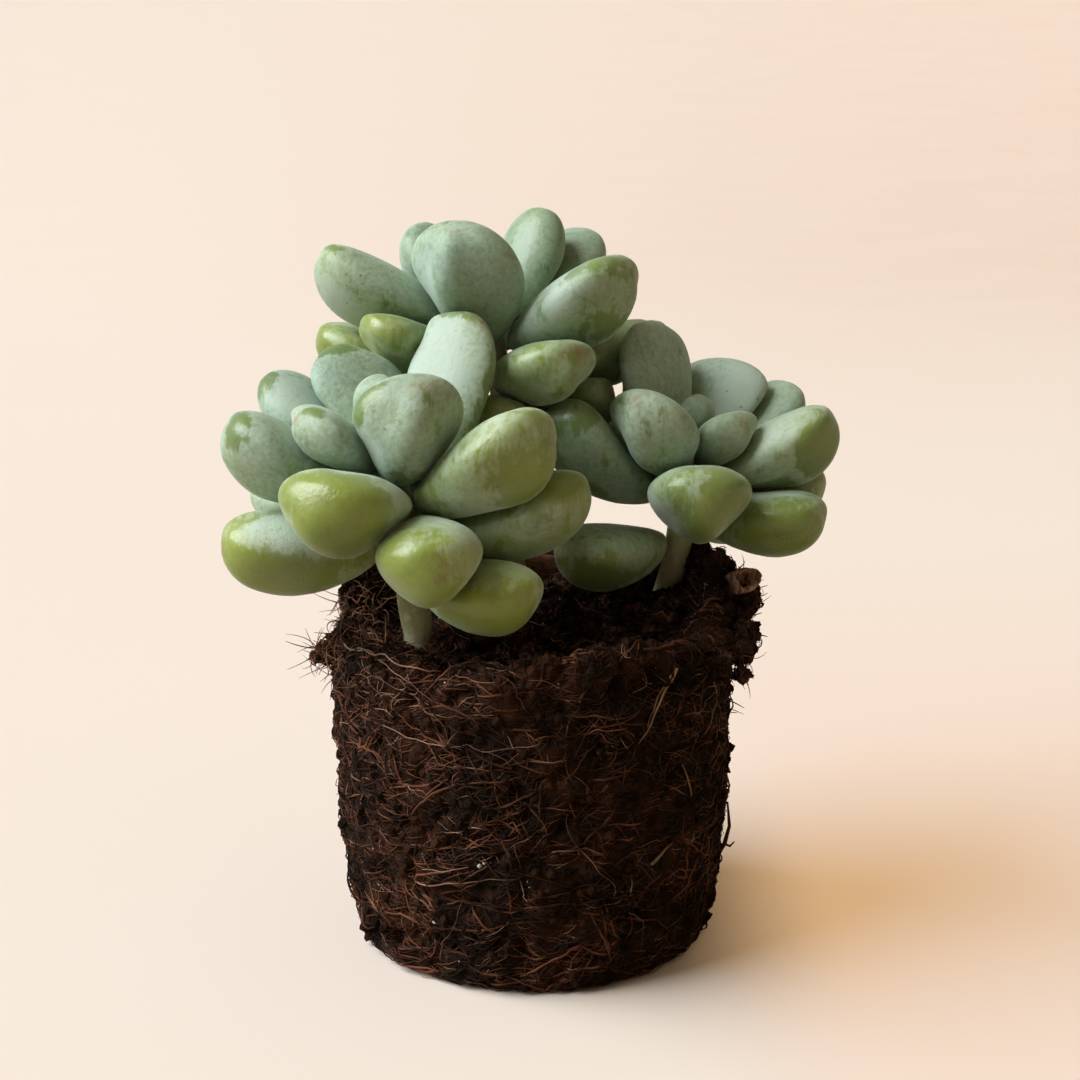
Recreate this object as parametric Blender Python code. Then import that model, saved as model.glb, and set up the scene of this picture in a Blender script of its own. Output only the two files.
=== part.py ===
"""A small sedum plug plant: three rosettes of plump leaves on short bare stems, standing in
the pot-shaped ball of roots and peat they grew in.  +Z is up and -Y is the front."""

import math

import bmesh
import bpy
import numpy as np
from mathutils import Euler, Vector, noise

MM = 0.001

# Root ball: the inside shape of a 5.5 cm nursery pot.
BALL_BASE_RADIUS = 24.2 * MM
BALL_TOP_RADIUS = 26.8 * MM
BALL_BOTTOM_EDGE = 2.2 * MM
BALL_RIM_HEIGHT = 45.0 * MM
SOIL_HEIGHT = 42.0 * MM
BALL_SEGMENTS = 56

# Every pair of touching pieces keeps this clearance.
GAP = 0.32 * MM

STEM_SIDES = 12
LEAF_SIDES = 12
LEAF_RINGS = 10

# Height of the rim above the underside, by angle from the front towards the right.
RIM_HEIGHTS = [
    (-165, 46.5), (-124, 46.8), (-107, 48.8), (-81, 41.2), (-54, 43.5), (-39, 44.3),
    (-23, 43.7), (-4, 45.0), (13, 46.0), (32, 46.4), (51, 44.8), (71, 42.8), (84, 43.6),
    (102, 49.2), (123, 49.6), (152, 50.0), (175, 46.5),
]

# Stems: points on the centre line with the radius there, in millimetres.
STEMS = {
    "left": [
        (-14.6, -9.0, 35.0, 1.8), (-14.9, -9.0, 43.0, 1.8), (-15.3, -9.0, 47.0, 2.2),
        (-15.6, -9.2, 51.0, 2.2), (-16.4, -9.4, 61.0, 1.4), (-17.5, -9.4, 68.0, 1.0),
    ],
    "right": [
        (18.2, 14.5, 35.0, 2.3), (18.6, 13.6, 42.0, 2.3), (19.8, 12.2, 48.0, 2.1),
        (20.5, 11.6, 54.0, 1.8), (20.9, 11.3, 59.0, 1.4), (21.2, 11.1, 64.5, 1.0),
    ],
    "back": [
        (-3.0, 15.0, 35.0, 2.4), (-3.0, 15.0, 43.0, 2.4), (-3.5, 14.8, 53.0, 2.0),
        (-4.2, 14.5, 64.0, 1.7), (-4.8, 14.2, 75.0, 1.4), (-5.0, 14.0, 83.0, 1.0),
    ],
}

# Leaves of each rosette: turn from the front towards the right, rise above the level,
# reach from stem to tip, width, thickness, height on the stem, upward curl, roll,
# bluntness of the tip, and sideways sway of the tip.  Degrees and millimetres.
LEAVES = {
    "left": [
        (-29, 14, 21.0, 15.5, 11.5, 61.8, 16, 0, 0.42, 0),
        (3, 62, 17.5, 15.0, 10.0, 64.5, 25, 0, 0.45, 2.4),
        (-57, 34, 15.6, 13.2, 8.5, 66.3, 20, 0, 0.42, 0),
        (-152, 48, 19.5, 16.0, 8.5, 66.5, 20, 0, 0.45, 0),
        (-60, 86, 8.3, 7.6, 6.0, 70.0, 10, 0, 0.48, 0),
        (147, 60, 25.5, 15.0, 9.5, 64.0, 25, 0, 0.55, 0),
        (-77, 25, 23.2, 13.5, 10.5, 63.7, 22, 0, 0.42, 0),
        (-120, 32, 23.0, 13.0, 9.5, 64.8, 20, 0, 0.45, 0),
        (58, 34, 23.6, 15.5, 11.5, 61.8, 20, 0, 0.38, 0),
        (79, 19, 24.3, 13.5, 10.5, 57.8, 18, 0, 0.48, 0),
        (-73, 2, 23.5, 13.5, 11.5, 57.8, 20, 0, 0.45, 0),
        (14, 4, 21.5, 13.5, 11.5, 58.2, 18, 0, 0.42, 0),
        (46, 2, 21.0, 13.5, 9.8, 52.8, 18, 0, 0.45, 0),
        (-117, 3, 22.5, 13.0, 10.0, 60.0, 15, 0, 0.45, 0),
        (172, 22, 20.0, 13.5, 10.0, 61.5, 15, 0, 0.45, 0),
        (-160, 4, 19.0, 13.0, 10.0, 57.5, 15, 0, 0.45, 0),
        (118, 14, 19.0, 13.0, 10.0, 59.5, 15, 0, 0.45, 0),
    ],
    "right": [
        (-124, 75, 20.2, 17.0, 9.0, 62.8, 22, 0, 0.50, 0),
        (150, 49, 17.8, 17.2, 8.5, 62.2, 20, 0, 0.45, 0),
        (123, 31, 20.6, 13.5, 9.0, 61.5, 22, 0, 0.45, 0),
        (30, 85, 6.5, 6.0, 4.5, 65.8, 5, 0, 0.55, 0),
        (39, 39, 12.4, 11.2, 6.8, 63.2, 20, 0, 0.48, 0),
        (-31, 45, 19.0, 13.2, 9.0, 61.5, 22, 0, 0.52, 0),
        (75, 27, 21.5, 13.5, 10.0, 61.0, 25, 0, 0.45, 0),
        (4, 15, 21.0, 14.0, 10.6, 58.5, 15, 0, 0.42, 0),
        (58, 4, 20.6, 13.5, 9.5, 56.6, 20, 0, 0.45, 0),
        (102, 7, 20.0, 13.0, 9.5, 57.5, 18, 0, 0.45, 0),
        (-65, 38, 25.0, 13.0, 10.0, 59.2, 45, 0, 0.45, 0),
        (-66, 3, 18.0, 13.0, 9.5, 51.8, 40, 0, 0.42, 0),
        (175, 20, 19.5, 13.0, 9.5, 58.5, 18, 0, 0.45, 0),
        (-142, 26, 18.5, 13.0, 9.5, 59.5, 18, 0, 0.45, 0),
        (140, 3, 18.0, 13.0, 9.5, 54.5, 18, 0, 0.45, 0),
    ],
    "back": [
        (-26, 58, 20.2, 16.3, 10.5, 79.3, 22, 0, 0.45, 0),
        (-77, 28, 26.4, 13.4, 10.5, 79.8, 24, 0, 0.45, 0),
        (-56, 20, 22.0, 12.5, 9.0, 76.0, 15, 0, 0.45, 0),
        (-85, 13, 25.0, 12.5, 9.0, 75.0, 15, 0, 0.45, 0),
        (-118, 50, 18.5, 12.5, 9.0, 80.5, 18, 0, 0.45, 0),
        (136, 65, 18.3, 10.8, 9.0, 80.2, 20, 0, 0.45, 0),
        (136, 36, 21.5, 13.5, 9.0, 80.5, 20, 0, 0.45, 0),
        (57, 33, 23.0, 15.0, 10.0, 78.7, 20, 0, 0.38, 0),
        (28, 20, 21.0, 13.5, 9.2, 73.3, 15, 0, 0.45, 0),
        (103, 17, 23.4, 12.5, 9.0, 73.6, 18, 0, 0.45, 0),
        (80, 14, 16.5, 13.0, 9.0, 69.5, 15, 0, 0.45, 0),
        (178, 34, 20.0, 13.5, 9.5, 78.0, 18, 0, 0.45, 0),
        (-150, 18, 21.0, 13.5, 9.5, 74.5, 18, 0, 0.45, 0),
        (155, 8, 20.0, 13.0, 9.5, 71.0, 18, 0, 0.45, 0),
        (-112, 2, 19.0, 12.5, 9.0, 70.0, 18, 0, 0.45, 0),
        (-4, 8, 17.0, 12.5, 9.0, 69.5, 18, 0, 0.45, 0),
    ],
}

# Where the two loose pieces lie: place in millimetres, then turn, tilt and roll in degrees.
CHIP_PLACE = ((1.6, 17.0, 46.4), 15, 35, 8)
STUB_PLACE = ((27.9, 5.0, 46.8), 20, 62, 0)

MATERIALS = {
    "leaf": ((0.36, 0.46, 0.30, 1.0), 0.55),
    "stem": ((0.34, 0.36, 0.22, 1.0), 0.60),
    "root_ball": ((0.09, 0.055, 0.035, 1.0), 0.95),
    "bark": ((0.24, 0.10, 0.06, 1.0), 0.85),
    "dry": ((0.50, 0.36, 0.26, 1.0), 0.80),
}


def new_collection(name, hidden):
    collection = bpy.data.collections.new(name)
    collection.hide_render = hidden
    bpy.context.scene.collection.children.link(collection)
    return collection


def new_object(name, shape, collection, material_name=None):
    """Turns an edit mesh into an object, with its own material if it is a part."""
    shape.normal_update()
    bmesh.ops.recalc_face_normals(shape, faces=shape.faces)
    mesh = bpy.data.meshes.new(name)
    shape.to_mesh(mesh)
    shape.free()
    obj = bpy.data.objects.new(name, mesh)
    collection.objects.link(obj)
    if material_name is None:
        obj.display_type = "WIRE"
        return obj
    colour, roughness = MATERIALS[material_name]
    material = bpy.data.materials.new(name)
    material.use_nodes = True
    shader = material.node_tree.nodes["Principled BSDF"]
    shader.inputs["Base Color"].default_value = colour
    shader.inputs["Roughness"].default_value = roughness
    shader.inputs["Metallic"].default_value = 0.0
    mesh.materials.append(material)
    return obj


def cut(target, cutter):
    modifier = target.modifiers.new("cut " + cutter.name, "BOOLEAN")
    modifier.operation = "DIFFERENCE"
    modifier.solver = "EXACT"
    modifier.object = cutter


def lathe(side, steps):
    """Spins a side line of (radius, height) points, metres, into a closed solid."""
    shape = bmesh.new()
    corners = [shape.verts.new((radius, 0.0, height)) for radius, height in side]
    edges = [shape.edges.new(pair) for pair in zip(corners, corners[1:])]
    bmesh.ops.spin(
        shape, geom=corners + edges, cent=(0, 0, 0), axis=(0, 0, 1),
        angle=math.tau, steps=steps, use_merge=True,
    )
    bmesh.ops.remove_doubles(shape, verts=shape.verts, dist=0.00001)
    return shape


# ---- root ball ----

def around(table, angle):
    """A height read from the rim table, which closes on itself."""
    angles = [entry[0] for entry in table]
    heights = [entry[1] for entry in table]
    return float(np.interp(angle, angles, heights, period=360.0))


def ball_shape():
    """Lathes the pot shape, then gives it the uneven torn rim and crumbly sides."""
    side = [
        (0.0, 0.0), (BALL_BASE_RADIUS * 0.5, 0.0),
        (BALL_BASE_RADIUS - BALL_BOTTOM_EDGE, 0.0),
        (BALL_BASE_RADIUS - BALL_BOTTOM_EDGE * 0.3, BALL_BOTTOM_EDGE * 0.3),
        (BALL_BASE_RADIUS, BALL_BOTTOM_EDGE),
    ]
    for step in range(1, 7):
        height = BALL_BOTTOM_EDGE + (BALL_RIM_HEIGHT - 2.0 * MM - BALL_BOTTOM_EDGE) * step / 6
        bulge = 0.8 * MM * math.sin(math.pi * min(1.0, step / 5.5))
        radius = BALL_BASE_RADIUS + (BALL_TOP_RADIUS - BALL_BASE_RADIUS) * step / 6 + bulge
        side.append((radius, height))
    side += [
        (BALL_TOP_RADIUS - 0.9 * MM, BALL_RIM_HEIGHT),
        (BALL_TOP_RADIUS - 3.6 * MM, BALL_RIM_HEIGHT - 0.8 * MM),
        (BALL_TOP_RADIUS * 0.72, SOIL_HEIGHT + 0.3 * MM),
        (BALL_TOP_RADIUS * 0.48, SOIL_HEIGHT), (BALL_TOP_RADIUS * 0.24, SOIL_HEIGHT),
        (0.0, SOIL_HEIGHT),
    ]
    shape = lathe(side, BALL_SEGMENTS)
    for vert in shape.verts:
        place = vert.co
        radius = math.hypot(place.x, place.y)
        if place.z < 0.00001 or radius < 0.00001:
            continue
        angle = math.degrees(math.atan2(place.x, -place.y))
        lift = around(RIM_HEIGHTS, angle) * MM - BALL_RIM_HEIGHT
        near_top = min(1.0, max(0.0, (place.z - 30.0 * MM) / (13.0 * MM)))
        near_rim = min(1.0, max(0.0, (radius - 0.55 * BALL_TOP_RADIUS) / (0.40 * BALL_TOP_RADIUS)))
        crumb = noise.noise(Vector(place) * 210.0) * 1.0 * MM
        place.z += lift * near_top * near_rim * near_rim
        if place.z > 30.0 * MM and near_rim < 0.9:
            place.z += crumb * 0.9
        swell = 1.0 + (crumb * 0.55) / max(radius, 0.004)
        if place.z > BALL_BOTTOM_EDGE * 0.5:
            place.x *= swell
            place.y *= swell
    return shape


# ---- stems ----

def stem_at(name, height):
    """Centre of a stem and its radius at one height, in metres."""
    points = STEMS[name]
    heights = [point[2] for point in points]
    place = [float(np.interp(height, heights, [point[axis] for point in points])) for axis in (0, 1)]
    radius = float(np.interp(height, heights, [point[3] for point in points]))
    return Vector((place[0], place[1], height)) * MM, radius * MM


def stem_shape(name, bottom, top, extra):
    """A tube with flat ends along a stem's centre line, with faint leaf scars."""
    shape = bmesh.new()
    rings = 14
    bmesh.ops.create_uvsphere(shape, u_segments=STEM_SIDES, v_segments=rings, radius=1.0)
    for vert in shape.verts:
        down = math.acos(max(-1.0, min(1.0, vert.co.z))) / math.pi * rings
        step = min(1.0, max(0.0, (down - 1.0) / (rings - 2)))
        height = top + (bottom - top) * step
        centre, radius = stem_at(name, height)
        turn = math.atan2(vert.co.y, vert.co.x)
        scar = 0.0 if extra else 0.14 * MM * math.sin(height * 2.1 + turn * 2.0)
        reach = 0.0 if down < 0.5 or down > rings - 0.5 else radius + extra + scar
        vert.co = centre + Vector((math.cos(turn), math.sin(turn), 0.0)) * reach
    return shape


# ---- leaves ----

class Leaf:
    """One leaf as a bent, keeled club: its frame, its sizes and how deep a point lies in it."""

    def __init__(self, rosette, row):
        turn, rise, chord, width, thick, height, curl, roll, blunt, sway = row
        self.curl = math.radians(curl)
        stretch = (self.curl / 2) / math.sin(self.curl / 2)
        turn = math.radians(turn)
        rise = math.radians(rise)
        outward = Vector((math.sin(turn), -math.cos(turn), 0.0))
        up = Vector((0.0, 0.0, 1.0))
        centre, radius = stem_at(rosette, height)
        self.start = centre + outward * (radius + GAP)
        reach = chord * MM - radius * math.cos(rise)
        self.length = reach * stretch
        along = outward * math.cos(rise) + up * math.sin(rise)
        above = up * math.cos(rise) - outward * math.sin(rise)
        half = self.curl / 2
        self.along = along * math.cos(half) - above * math.sin(half)
        normal = above * math.cos(half) + along * math.sin(half)
        across = normal.cross(self.along).normalized()
        spin = math.radians(roll)
        self.normal = normal * math.cos(spin) + across * math.sin(spin)
        self.across = across * math.cos(spin) - normal * math.sin(spin)
        self.half_width = width * MM / 2
        self.over = thick * MM * 0.40
        self.under = thick * MM * 0.60
        self.blunt = blunt
        self.sway = sway * MM
        self.axes = np.array([self.along, self.across, self.normal])
        self.widest = 0.62 / (0.62 + blunt)
        self.peak = self.widest ** 0.62 * (1 - self.widest) ** blunt

    def fullness(self, share):
        share = np.clip(share, 0.0, 1.0)
        return share ** 0.62 * (1 - share) ** self.blunt / self.peak

    def world(self, share, side, rise):
        """World points from share of the length, sideways and upward distances."""
        bend = self.curl / self.length
        turned = bend * share * self.length
        flat_x = np.sin(turned) / bend - rise * np.sin(turned)
        flat_z = (1 - np.cos(turned)) / bend + rise * np.cos(turned)
        flat = np.stack([flat_x, side + self.sway * share ** 2, flat_z], axis=-1)
        return flat @ self.axes + np.array(self.start)

    def spine(self, share):
        nothing = np.zeros_like(share)
        return self.world(share, nothing, nothing)

    def level(self, points):
        """0 on the spine, 1 on the surface and more outside, with the local half size."""
        flat = (points - np.array(self.start)) @ self.axes.T
        bend = self.curl / self.length
        across_x = flat[:, 0]
        to_centre = 1 / bend - flat[:, 2]
        share = np.arctan2(across_x, to_centre) / bend / self.length
        rise = 1 / bend - np.hypot(across_x, to_centre)
        side = flat[:, 1] - self.sway * share ** 2
        full = np.maximum(self.fullness(share), 0.12)
        thick = np.where(rise > 0, self.over, self.under) * full
        lean = np.clip(np.abs(rise) / thick, 0.0, 1.0)
        keel = np.where(rise > 0, 0.0, 0.28)
        wide = self.half_width * full * (1 - keel * lean ** 2)
        section = (side / wide) ** 2 + (rise / thick) ** 2
        end = np.where(
            share > self.widest,
            (share - self.widest) / (1 - self.widest),
            (0.12 - share) / 0.12,
        )
        end = np.maximum(end, 0.0)
        inside = section * np.maximum(1 - end ** 2, 0.0) + end ** 2
        apart = (side ** 2 + rise ** 2) / (2.5 * MM) ** 2 + end ** 2
        return np.sqrt(np.where(end < 1.0, inside, apart)), np.sqrt(wide * thick)


def leaf_shape(leaf, pressed_by, rosette_stem):
    """A leaf's mesh, pushed back wherever a neighbour or the stem is in the way."""
    shape = bmesh.new()
    bmesh.ops.create_uvsphere(shape, u_segments=LEAF_SIDES, v_segments=LEAF_RINGS, radius=1.0)
    unit = np.array([vert.co for vert in shape.verts])
    share = (1 + unit[:, 2]) / 2
    ring = np.maximum(np.hypot(unit[:, 0], unit[:, 1]), 1e-9)
    cosine = unit[:, 0] / ring
    sine = unit[:, 1] / ring
    full = leaf.fullness(share)
    keel = np.where(sine > 0, 0.0, 0.28)
    side = leaf.half_width * full * cosine * (1 - keel * sine ** 2)
    rise = np.where(sine > 0, leaf.over, leaf.under) * full * sine
    skin = leaf.world(share, side, rise)
    inner = np.where(share > leaf.widest, leaf.widest + 0.35 * (share - leaf.widest), share)
    core = leaf.spine(np.maximum(inner, 0.14))

    def fits(points):
        own, own_size = leaf.level(points)
        good = np.ones(len(points), dtype=bool)
        for other in pressed_by:
            theirs, their_size = other.level(points)
            margin = GAP * 0.85 * (1 / own_size + 1 / their_size)
            good &= own + margin <= theirs
        for name, reach in rosette_stem:
            heights = np.clip(points[:, 2] / MM, STEMS[name][0][2], STEMS[name][-1][2])
            table = np.array(STEMS[name])
            middle = np.stack([np.interp(heights, table[:, 2], table[:, axis]) * MM for axis in (0, 1)], axis=-1)
            radius = np.interp(heights, table[:, 2], table[:, 3]) * MM
            above = np.maximum(points[:, 2] - table[-1, 2] * MM, 0.0)
            distance = np.hypot(np.linalg.norm(points[:, :2] - middle, axis=1), above)
            good &= distance > radius + reach
        return good

    low = np.zeros(len(skin))
    high = np.ones(len(skin))
    good = fits(skin)
    low[good] = 1.0
    for _ in range(14):
        middle = (low + high) / 2
        good = fits(core + (skin - core) * middle[:, None])
        low = np.where(good, middle, low)
        high = np.where(good, high, middle)
    placed = core + (skin - core) * np.maximum(low, 0.02)[:, None]
    for vert, point in zip(shape.verts, placed):
        vert.co = point
    return shape


# ---- loose pieces on the soil ----

def chip_shape():
    """A thin splintered flake of bark, lying tilted."""
    shape = bmesh.new()
    bmesh.ops.create_uvsphere(shape, u_segments=12, v_segments=8, radius=1.0)
    for vert in shape.verts:
        place = vert.co.copy()
        ragged = 1.0 + 0.25 * noise.noise(place * 2.3)
        vert.co = Vector((place.x * 3.2 * ragged, place.z * 1.9 * ragged, place.y * 0.6)) * MM
        vert.co.z += 0.06 * MM * (vert.co.x / MM) ** 2
    return shape


def stub_shape(extra):
    """A short hollow dried stalk, a blind tube bent a little; grown and filled, it is its seat."""
    if extra:
        side = [(0.0, -2.8), (1.8, -2.6), (2.4, -1.2), (2.5, 0.6), (2.7, 2.2), (2.7, 3.2), (0.0, 3.2)]
    else:
        side = [
            (0.0, -2.4), (1.5, -2.2), (2.0, -1.2), (2.1, 0.6), (2.3, 2.2), (2.05, 2.6),
            (1.6, 2.2), (1.35, 1.2), (1.0, 0.2), (0.6, -0.3), (0.0, -0.4),
        ]
    shape = lathe([(radius * MM, height * MM) for radius, height in side], 14)
    for vert in shape.verts:
        vert.co.x += 0.05 * (vert.co.z / MM) ** 2 * MM
        vert.co.y *= 0.85
    return shape


def lay(shape, place, turn, tilt, roll):
    """Turns a loose piece about its own axes and sets it down at a place."""
    spin = Euler((math.radians(tilt), math.radians(roll), math.radians(turn)), "XYZ").to_matrix()
    for vert in shape.verts:
        vert.co = spin @ vert.co + Vector(place) * MM
    return shape


for leftover in list(bpy.data.objects):
    bpy.data.objects.remove(leftover, do_unlink=True)

parts = new_collection("sedum_plug_plant", False)
cutters = new_collection("cutters", True)

ball = new_object("root_ball", ball_shape(), parts, "root_ball")
for stem_name, line in STEMS.items():
    first, last = line[0][2], line[-1][2]
    new_object("stem_" + stem_name, stem_shape(stem_name, first, last, 0.0), parts, "stem")
    socket = stem_shape(stem_name, first - GAP / MM, 56.0, GAP + 0.15 * MM)
    cut(ball, new_object("socket_" + stem_name, socket, cutters))

new_object("bark_chip", lay(chip_shape(), *CHIP_PLACE), parts, "bark")
new_object("dry_stub", lay(stub_shape(False), *STUB_PLACE), parts, "dry")
cut(ball, new_object("stub_seat", lay(stub_shape(True), *STUB_PLACE), cutters))

everything = {name: [Leaf(name, row) for row in rows] for name, rows in LEAVES.items()}
all_leaves = [leaf for group in everything.values() for leaf in group]
all_stems = [(name, GAP) for name in STEMS]
for rosette_name, group in everything.items():
    for number, one in enumerate(group, start=1):
        others = [leaf for leaf in all_leaves if leaf is not one]
        near = [leaf for leaf in others if (leaf.start - one.start).length < one.length + leaf.length]
        body = leaf_shape(one, near, all_stems)
        new_object(f"{rosette_name}_leaf_{number:02d}", body, parts, "leaf")
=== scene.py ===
import math
import random

import bmesh
import bpy
import numpy as np
from mathutils import Matrix, Vector, noise
from mathutils.bvhtree import BVHTree


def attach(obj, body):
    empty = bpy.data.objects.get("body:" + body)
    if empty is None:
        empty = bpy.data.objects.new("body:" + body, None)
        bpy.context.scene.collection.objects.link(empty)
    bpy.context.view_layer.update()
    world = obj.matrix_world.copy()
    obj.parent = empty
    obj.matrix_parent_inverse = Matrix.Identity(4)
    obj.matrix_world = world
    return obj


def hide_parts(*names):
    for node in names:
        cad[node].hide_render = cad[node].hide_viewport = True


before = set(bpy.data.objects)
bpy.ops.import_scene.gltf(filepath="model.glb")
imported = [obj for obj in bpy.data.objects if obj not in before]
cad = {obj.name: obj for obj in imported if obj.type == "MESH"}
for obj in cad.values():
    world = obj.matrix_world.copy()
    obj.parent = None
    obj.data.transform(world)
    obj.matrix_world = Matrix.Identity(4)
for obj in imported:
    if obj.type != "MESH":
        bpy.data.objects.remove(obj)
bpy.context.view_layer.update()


# ---- Root ball: damp peat and coir packed by the pot it grew in, matted through with roots.
# The frame's solid gives its size; here it gets its crumbly surface.  It stands free on
# its own flat underside.

MM = 0.001
PEAT_GRAIN = 0.62 * MM
SOFT_RIM_FROM, SOFT_RIM_PASSES = 30.0 * MM, 14
FIRM_FOOT, TORN_FROM = 0.5 * MM, 38.0 * MM


def welded_copy(node, join=True):
    """An edit mesh of a CAD node with its loose triangles joined up again."""
    shape = bmesh.new()
    shape.from_mesh(cad[node].data)
    bmesh.ops.remove_doubles(shape, verts=shape.verts, dist=0.00001)
    if join:
        bmesh.ops.join_triangles(
            shape, faces=shape.faces, angle_face_threshold=0.7, angle_shape_threshold=0.9,
        )
    return shape


def piece(name, mesh, material, slot, *stands_for):
    """Puts a finished mesh in the scene as a piece of the plant."""
    obj = bpy.data.objects.new(name, mesh)
    bpy.context.scene.collection.objects.link(obj)
    mesh.materials.clear()
    mesh.materials.append(material)
    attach(obj, "root")
    if stands_for:
        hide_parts(*stands_for)
    return obj


def mesh_from(shape, name, smooth=True):
    """The finished mesh of an edit mesh, which is freed."""
    mesh = bpy.data.meshes.new(name)
    shape.normal_update()
    shape.to_mesh(mesh)
    shape.free()
    mesh.polygons.foreach_set("use_smooth", [smooth] * len(mesh.polygons))
    return mesh


class Finish:
    """A material's nodes, added one below another and wired by name."""

    def __init__(self, name):
        self.material = bpy.data.materials.new(name)
        self.material.use_nodes = True
        self.tree = self.material.node_tree
        self.shader = self.tree.nodes["Principled BSDF"]
        self.place = self.tree.nodes.new("ShaderNodeTexCoord").outputs["Object"]

    def set(self, **values):
        """Fixed values on the shader's own sockets."""
        for name, value in values.items():
            self.shader.inputs[name.replace("_", " ")].default_value = value
        return self

    def wire(self, source, target):
        """Joins an output to a socket, or sets the socket to a number or colour."""
        if isinstance(source, bpy.types.NodeSocket):
            self.tree.links.new(source, target)
        else:
            target.default_value = source

    def noise(self, scale, detail=3.0, rough=0.55, place=None, distort=0.0):
        """Cloudy values from 0 to 1."""
        node = self.tree.nodes.new("ShaderNodeTexNoise")
        node.inputs["Scale"].default_value = scale
        node.inputs["Detail"].default_value = detail
        node.inputs["Roughness"].default_value = rough
        node.inputs["Distortion"].default_value = distort
        self.wire(place or self.place, node.inputs["Vector"])
        return node.outputs["Fac"]

    def spots(self, scale):
        """Distance to the nearest of many scattered points."""
        node = self.tree.nodes.new("ShaderNodeTexVoronoi")
        node.inputs["Scale"].default_value = scale
        self.wire(self.place, node.inputs["Vector"])
        return node.outputs["Distance"]

    def stretched(self, scale):
        """The place in the piece, scaled differently along each axis."""
        node = self.tree.nodes.new("ShaderNodeMapping")
        self.wire(self.place, node.inputs["Vector"])
        node.inputs["Scale"].default_value = scale
        return node.outputs["Vector"]

    def fit(self, value, low, high, out_low=0.0, out_high=1.0):
        """A value eased from one range to another and held at its ends."""
        node = self.tree.nodes.new("ShaderNodeMapRange")
        node.interpolation_type = "SMOOTHSTEP"
        for socket, number in zip(node.inputs, (value, low, high, out_low, out_high)):
            self.wire(number, socket)
        return node.outputs["Result"]

    def math(self, kind, first, second=0.0):
        """One sum; sums and differences are held between 0 and 1."""
        node = self.tree.nodes.new("ShaderNodeMath")
        node.operation = kind
        node.use_clamp = kind in ("ADD", "SUBTRACT")
        self.wire(first, node.inputs[0])
        self.wire(second, node.inputs[1])
        return node.outputs["Value"]

    def mix(self, share, first, second):
        """A colour between two others."""
        node = self.tree.nodes.new("ShaderNodeMix")
        node.data_type = "RGBA"
        factor, colour_a, colour_b, colour_out = 0, 6, 7, 2
        for socket, value in ((factor, share), (colour_a, first), (colour_b, second)):
            if isinstance(value, tuple):
                value = (*value, 1.0)
            self.wire(value, node.inputs[socket])
        return node.outputs[colour_out]

    def grown(self, name):
        """A number stored on the mesh's own points."""
        node = self.tree.nodes.new("ShaderNodeAttribute")
        node.attribute_name = name
        return node.outputs["Fac"]

    def colour(self, source):
        self.wire(source, self.shader.inputs["Base Color"])
        return self

    def roughness(self, source):
        self.wire(source, self.shader.inputs["Roughness"])
        return self

    def relief(self, height, depth):
        """Fine bumps up to a depth in metres."""
        node = self.tree.nodes.new("ShaderNodeBump")
        node.inputs["Strength"].default_value = 1.0
        node.inputs["Distance"].default_value = depth
        self.wire(height, node.inputs["Height"])
        self.wire(node.outputs["Normal"], self.shader.inputs["Normal"])
        return self


peat = Finish("peat").set(Specular_IOR_Level=0.08)
peat_lumps = peat.noise(420.0, 5.0, 0.65)
warmth = peat.noise(95.0, 3.0)
peat_brown = peat.mix(
    peat.fit(warmth, 0.42, 0.68), (0.0100, 0.0050, 0.0026), (0.042, 0.0165, 0.0075)
)
peat_light = peat.mix(peat.fit(peat_lumps, 0.56, 0.80), peat_brown, (0.078, 0.040, 0.022))
peat.colour(peat_light).roughness(peat.fit(peat_lumps, 0.3, 0.7, 0.98, 0.80))
peat.relief(peat_lumps, 1.0 * MM)

ball_shape = welded_copy("root_ball", join=False)
ball_rough = mesh_from(ball_shape, "root_ball_base")
ball_maker = bpy.data.objects.new("root_ball_base", ball_rough)
bpy.context.scene.collection.objects.link(ball_maker)
ball_remesh = ball_maker.modifiers.new("even", "REMESH")
ball_remesh.mode = "VOXEL"
ball_remesh.voxel_size = PEAT_GRAIN
bpy.context.view_layer.update()
ball_mesh = bpy.data.meshes.new_from_object(
    ball_maker.evaluated_get(bpy.context.evaluated_depsgraph_get())
)
bpy.data.objects.remove(ball_maker)


def crumble(place):
    """How far the peat stands out at a place: clods, then crumbs, then pits."""
    clod = noise.fractal(place * 230.0, 0.9, 2.1, 3)
    crumb = noise.noise(place * 900.0)
    pit = max(0.0, noise.noise(place * 430.0 + Vector((7.0, 3.0, 1.0))) - 0.18)
    return (0.75 * clod + 0.32 * crumb - 2.4 * pit) * MM


ball_edit = bmesh.new()
ball_edit.from_mesh(ball_mesh)
rim = [vert for vert in ball_edit.verts if vert.co.z > SOFT_RIM_FROM]
for _ in range(SOFT_RIM_PASSES):
    bmesh.ops.smooth_vert(
        ball_edit, verts=rim, factor=0.5, use_axis_x=True, use_axis_y=True, use_axis_z=True,
    )
ball_edit.normal_update()
for vert in ball_edit.verts:
    firm = min(1.0, max(0.0, (vert.co.z - FIRM_FOOT) / (1.5 * MM)))
    ragged = 1.0 + 0.7 * min(1.0, max(0.0, (vert.co.z - TORN_FROM) / (5.0 * MM)))
    vert.co += vert.normal * crumble(vert.co) * firm * ragged
ball_edit.to_mesh(ball_mesh)
ball_edit.free()
ball_mesh.polygons.foreach_set("use_smooth", [False] * len(ball_mesh.polygons))
piece("root_ball_peat", ball_mesh, peat.material, "root_ball", "root_ball")


# ---- Clods: the soil torn up with the plant stands in crumbly lumps round the rim, highest
# on the right behind the stem, with a tuft hanging over the edge.

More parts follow.
